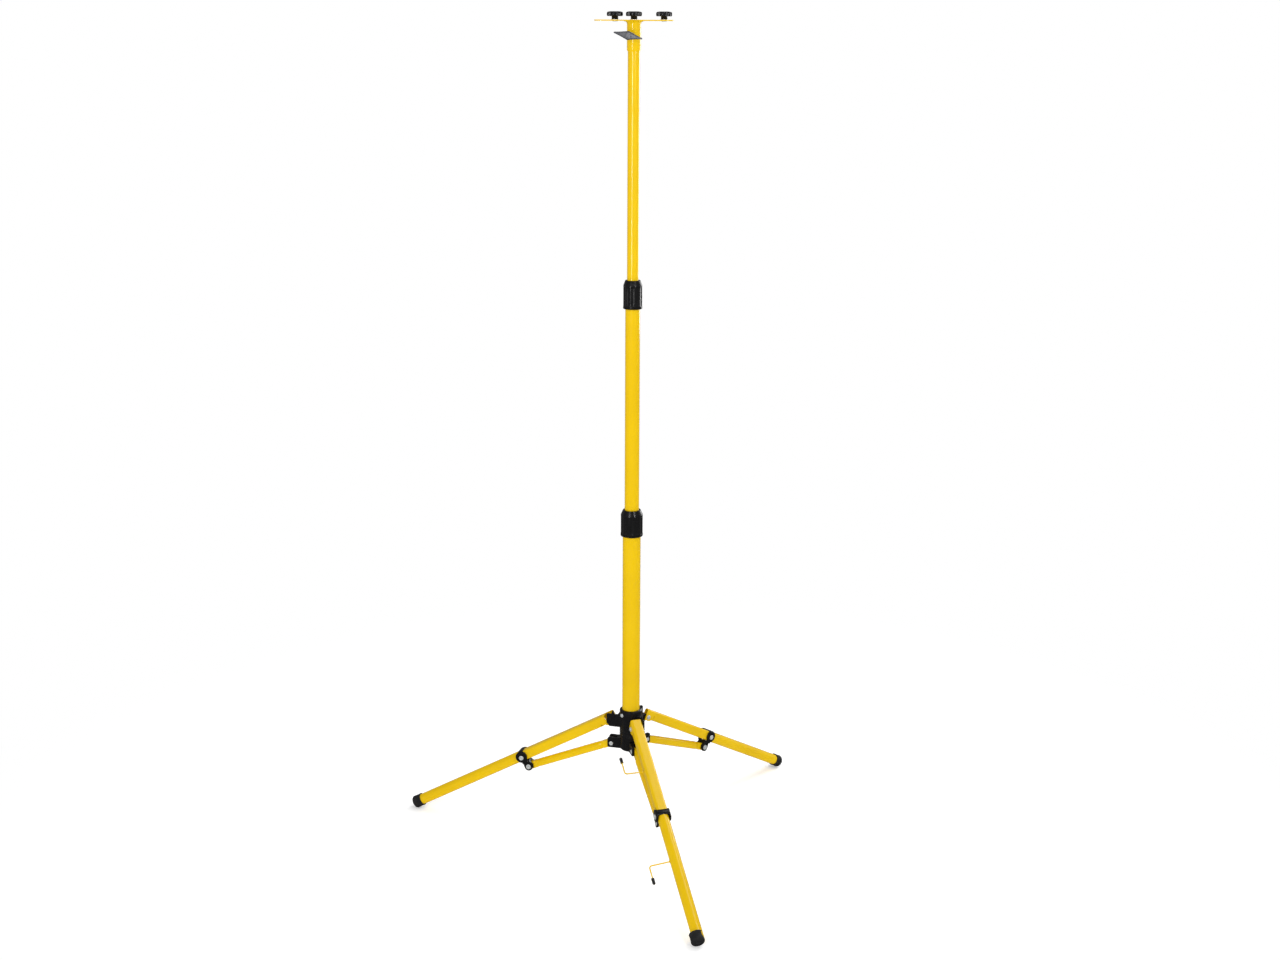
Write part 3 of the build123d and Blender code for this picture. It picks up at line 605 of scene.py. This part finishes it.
# ---------------------------------------------------------------- welds
def weld_ring(name, centre, axis, radius, bead, ripples, body):
    """A painted weld bead round a tube, with the ripples of each pass."""
    place = axis_frame(centre, axis)
    around, sides, ripple, flatness = ripples * 6, 10, 0.16, 0.8
    points = []
    for i in range(around):
        angle = 2 * pi * i / around
        swell = bead * (1.0 + ripple * abs(sin(ripples * angle / 2)))
        for j in range(sides):
            turn = 2 * pi * j / sides
            out = radius + swell * cos(turn)
            along = swell * flatness * sin(turn)
            points.append(place @ Vector((out * cos(angle), out * sin(angle), along)))
    faces = []
    for i in range(around):
        for j in range(sides):
            k, m = (i + 1) % around, (j + 1) % sides
            faces.append((i * sides + j, k * sides + j, k * sides + m, i * sides + m))
    mesh_piece(name, points, faces, body, "yellow_powder_coat", (), 70.0)


def welds():
    """Beads under the bar, round the socket's flare, and at each cable hook's root."""
    below_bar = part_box("cross_bar")[0].z - 0.3 * MM
    weld_ring("head_weld", (0, 0, below_bar), (0, 0, 1), 17.5 * MM, 0.7 * MM, 26, "head")
    leg_side, root_long = -11.0 * MM, 6.0 * MM
    for place in ("upper", "lower"):
        near = []
        for vertex in NODES[f"cable_hook_{place}"].data.vertices:
            if vertex.co.x > leg_side - root_long:
                near.append(vertex.co)
        root = sum(near, Vector()) / len(near)
        root.x = leg_side
        weld_ring(f"hook_weld_{place}", root, (1, 0, 0), 1.9 * MM, 0.9 * MM, 8, "leg_front")


# ---------------------------------------------------------------- carried-over CAD nodes
MOULDED = ["hub_base", "leg_ring"] + [f"knee_bracket_{name}" for name in LEGS]


def dress_nodes():
    """Each CAD node takes its slot's finish and is shaded smooth between its sharp edges."""
    for node, piece in NODES.items():
        slot = SLOT_OF[node]
        piece.data.materials.clear()
        piece.data.materials.append(MATERIALS[slot])
        piece.data.shade_smooth()
        piece.data.set_sharp_from_angle(angle=radians(30))
        if node in MOULDED:
            soften(piece)


def soften(piece):
    """Rounds a moulded piece's edges a little, as they come out of a mould."""
    weld = piece.modifiers.new("weld", "WELD")
    weld.merge_threshold = 0.00001
    round_over = piece.modifiers.new("round_over", "BEVEL")
    round_over.width = 0.0004
    round_over.segments = 2
    round_over.limit_method = "ANGLE"
    round_over.angle_limit = radians(40)
    round_over.harden_normals = True


# ---------------------------------------------------------------- stage
GROUND = CAD_BOX[0][2]
# the camera: metres from the mast's axis and above the hub, and its turns in degrees
CAMERA_BACK = 3.1933
CAMERA_UP = 1.4059
CAMERA_AZIMUTH = -105.44
CAMERA_DOWN = 14.83
CAMERA_YAW = 0.28
CAMERA_ROLL = 0.33
LENS = 47.94
# the white room's strength: on matt surfaces, and in reflections above and near the horizon
FILL = 0.62
MIRRORED = 0.16
MIRRORED_WALL = 0.30
FLOOR_LIFT = 0.22


def camera():
    """A view from in front, a little to the left of the front leg, looking slightly down."""
    data = bpy.data.cameras.new("camera")
    data.lens = LENS
    data.sensor_width = 36.0
    data.clip_end = 50.0
    eye = bpy.data.objects.new("camera", data)
    bpy.context.scene.collection.objects.link(eye)
    around = radians(CAMERA_AZIMUTH)
    place = Vector((CAMERA_BACK * cos(around), CAMERA_BACK * sin(around), CAMERA_UP))
    facing = around + pi - radians(CAMERA_YAW)
    down = radians(CAMERA_DOWN)
    forward = Vector((cos(facing) * cos(down), sin(facing) * cos(down), -sin(down)))
    right = forward.cross(Vector((0, 0, 1))).normalized()
    up = right.cross(forward)
    roll = radians(CAMERA_ROLL)
    rolled_right = right * cos(roll) + up * sin(roll)
    rolled_up = -right * sin(roll) + up * cos(roll)
    matrix = Matrix((rolled_right, rolled_up, -forward)).transposed().to_4x4()
    matrix.translation = place
    eye.matrix_world = matrix
    bpy.context.scene.camera = eye


def joined(tree, operation, *values):
    """A math node on numbers or outputs."""
    node = tree.nodes.new("ShaderNodeMath")
    node.operation = operation
    for socket, value in zip(node.inputs, values):
        if isinstance(value, float):
            socket.default_value = value
        else:
            tree.links.new(value, socket)
    return node.outputs["Value"]


def level(tree, value, between, levels):
    """An output that goes smoothly from one level to another while value crosses a range."""
    node = tree.nodes.new("ShaderNodeMapRange")
    node.interpolation_type = "SMOOTHSTEP"
    node.inputs["From Min"].default_value, node.inputs["From Max"].default_value = between
    node.inputs["To Min"].default_value, node.inputs["To Max"].default_value = levels
    tree.links.new(value, node.inputs["Value"])
    return node.outputs["Result"]


def by_ray(tree, to_camera, to_mirror, to_rest):
    """An output with one value for the camera, one for mirror-like rays and one for all others."""
    path = tree.nodes.new("ShaderNodeLightPath").outputs
    seen = joined(tree, "MULTIPLY_ADD", path["Is Camera Ray"], to_camera - to_rest, to_rest)
    above_rest = joined(tree, "SUBTRACT", to_mirror, to_rest)
    return joined(tree, "MULTIPLY_ADD", path["Is Glossy Ray"], above_rest, seen)


def floor():
    """A plain pale floor: it takes soft shadows near the stand and fades to white away from it."""
    half, fade_from, fade_to = 60.0, 0.55, 1.5
    mesh = bpy.data.meshes.new("floor")
    ways = ((-1, -1), (1, -1), (1, 1), (-1, 1))
    corners = [(half * x, half * y, GROUND) for x, y in ways]
    mesh.from_pydata(corners, [], [(0, 1, 2, 3)])
    piece = bpy.data.objects.new("floor", mesh)
    bpy.context.scene.collection.objects.link(piece)
    paint = Shader("pale_floor")
    tree = paint.tree
    paint.link(paint.ramp(paint.noise(1.5, 3.0), (0.3, 0.93), (0.7, 0.95)), "Base Color")
    paint.set(Roughness=0.9, Specular_IOR_Level=0.05, Emission_Strength=FLOOR_LIFT)
    paint.set(Emission_Color=(1.0, 1.0, 1.0, 1.0))
    reach = tree.nodes.new("ShaderNodeVectorMath")
    reach.operation = "LENGTH"
    tree.links.new(paint.place, reach.inputs[0])
    fade = level(tree, reach.outputs["Value"], (fade_from, fade_to), (0.0, 1.0))
    path = tree.nodes.new("ShaderNodeLightPath").outputs
    far = joined(tree, "MULTIPLY_ADD", fade, path["Is Camera Ray"], path["Is Glossy Ray"])
    white = tree.nodes.new("ShaderNodeEmission")
    mirrored = level(tree, reach.outputs["Value"], (5.0, 10.0), (MIRRORED, MIRRORED_WALL))
    tree.links.new(by_ray(tree, 1.0, mirrored, FILL), white.inputs["Strength"])
    blend = tree.nodes.new("ShaderNodeMixShader")
    tree.links.new(far, blend.inputs["Fac"])
    tree.links.new(paint.bsdf.outputs["BSDF"], blend.inputs[1])
    tree.links.new(white.outputs["Emission"], blend.inputs[2])
    tree.links.new(blend.outputs["Shader"], tree.nodes["Material Output"].inputs["Surface"])
    mesh.materials.append(paint.material)


def area_light(name, place, target, size, power):
    """A soft box at place, facing target, with a (width, height) in metres and a power in watts."""
    data = bpy.data.lights.new(name, "AREA")
    data.shape = "RECTANGLE"
    data.size, data.size_y = size
    data.energy = power
    light = bpy.data.objects.new(name, data)
    bpy.context.scene.collection.objects.link(light)
    turn = (Vector(target) - Vector(place)).to_track_quat("-Z", "Y")
    light.matrix_world = Matrix.Translation(place) @ turn.to_matrix().to_4x4()


def world():
    """White to the camera, an even fill on the stand, and a dim room in what the stand mirrors."""
    room = bpy.data.worlds.new("white_room")
    room.use_nodes = True
    background = room.node_tree.nodes["Background"]
    background.inputs["Color"].default_value = (1.0, 1.0, 1.0, 1.0)
    tree = room.node_tree
    direction = tree.nodes.new("ShaderNodeSeparateXYZ")
    tree.links.new(tree.nodes.new("ShaderNodeTexCoord").outputs["Generated"], direction.inputs[0])
    mirrored = level(tree, direction.outputs["Z"], (0.10, 0.35), (MIRRORED_WALL, MIRRORED))
    tree.links.new(by_ray(tree, 1.0, mirrored, FILL), background.inputs["Strength"])
    bpy.context.scene.world = room


def lights():
    """Three upright strip boxes about the mast and a soft top light. Each box has its turn from the
    camera, its height, how tall and wide it is, and its power."""
    distance = 2.3
    boxes = (
        ("left_box", -24.0, 1.42, 1.6, 0.20, 21.0),
        ("right_box", 32.0, 1.95, 1.2, 0.18, 16.0),
        ("rear_box", 137.0, 1.10, 1.3, 1.00, 24.0),
    )
    for name, turn, height, tall, wide, power in boxes:
        around = radians(CAMERA_AZIMUTH + turn)
        place = Vector((distance * cos(around), distance * sin(around), height))
        area_light(name, place, (0, 0, height), (wide, tall), power)
    area_light("top_light", (1.4, 0.3, 2.6), (0, 0, 0.62), (1.6, 1.6), 14.0)
    view = bpy.context.scene.view_settings
    view.view_transform = "Standard"
    view.look = "None"
    view.exposure = 0.0


dress_nodes()
for knob_side in KNOBS:
    star_knob(knob_side)
head_socket()
bar_studs()
twist_grip("lower", "lower_collar")
twist_grip("upper", "upper_collar")
for leg_name in LEGS:
    foot_boot(leg_name)
rivets()
wing_screw()
welds()
floor()
world()
lights()
camera()
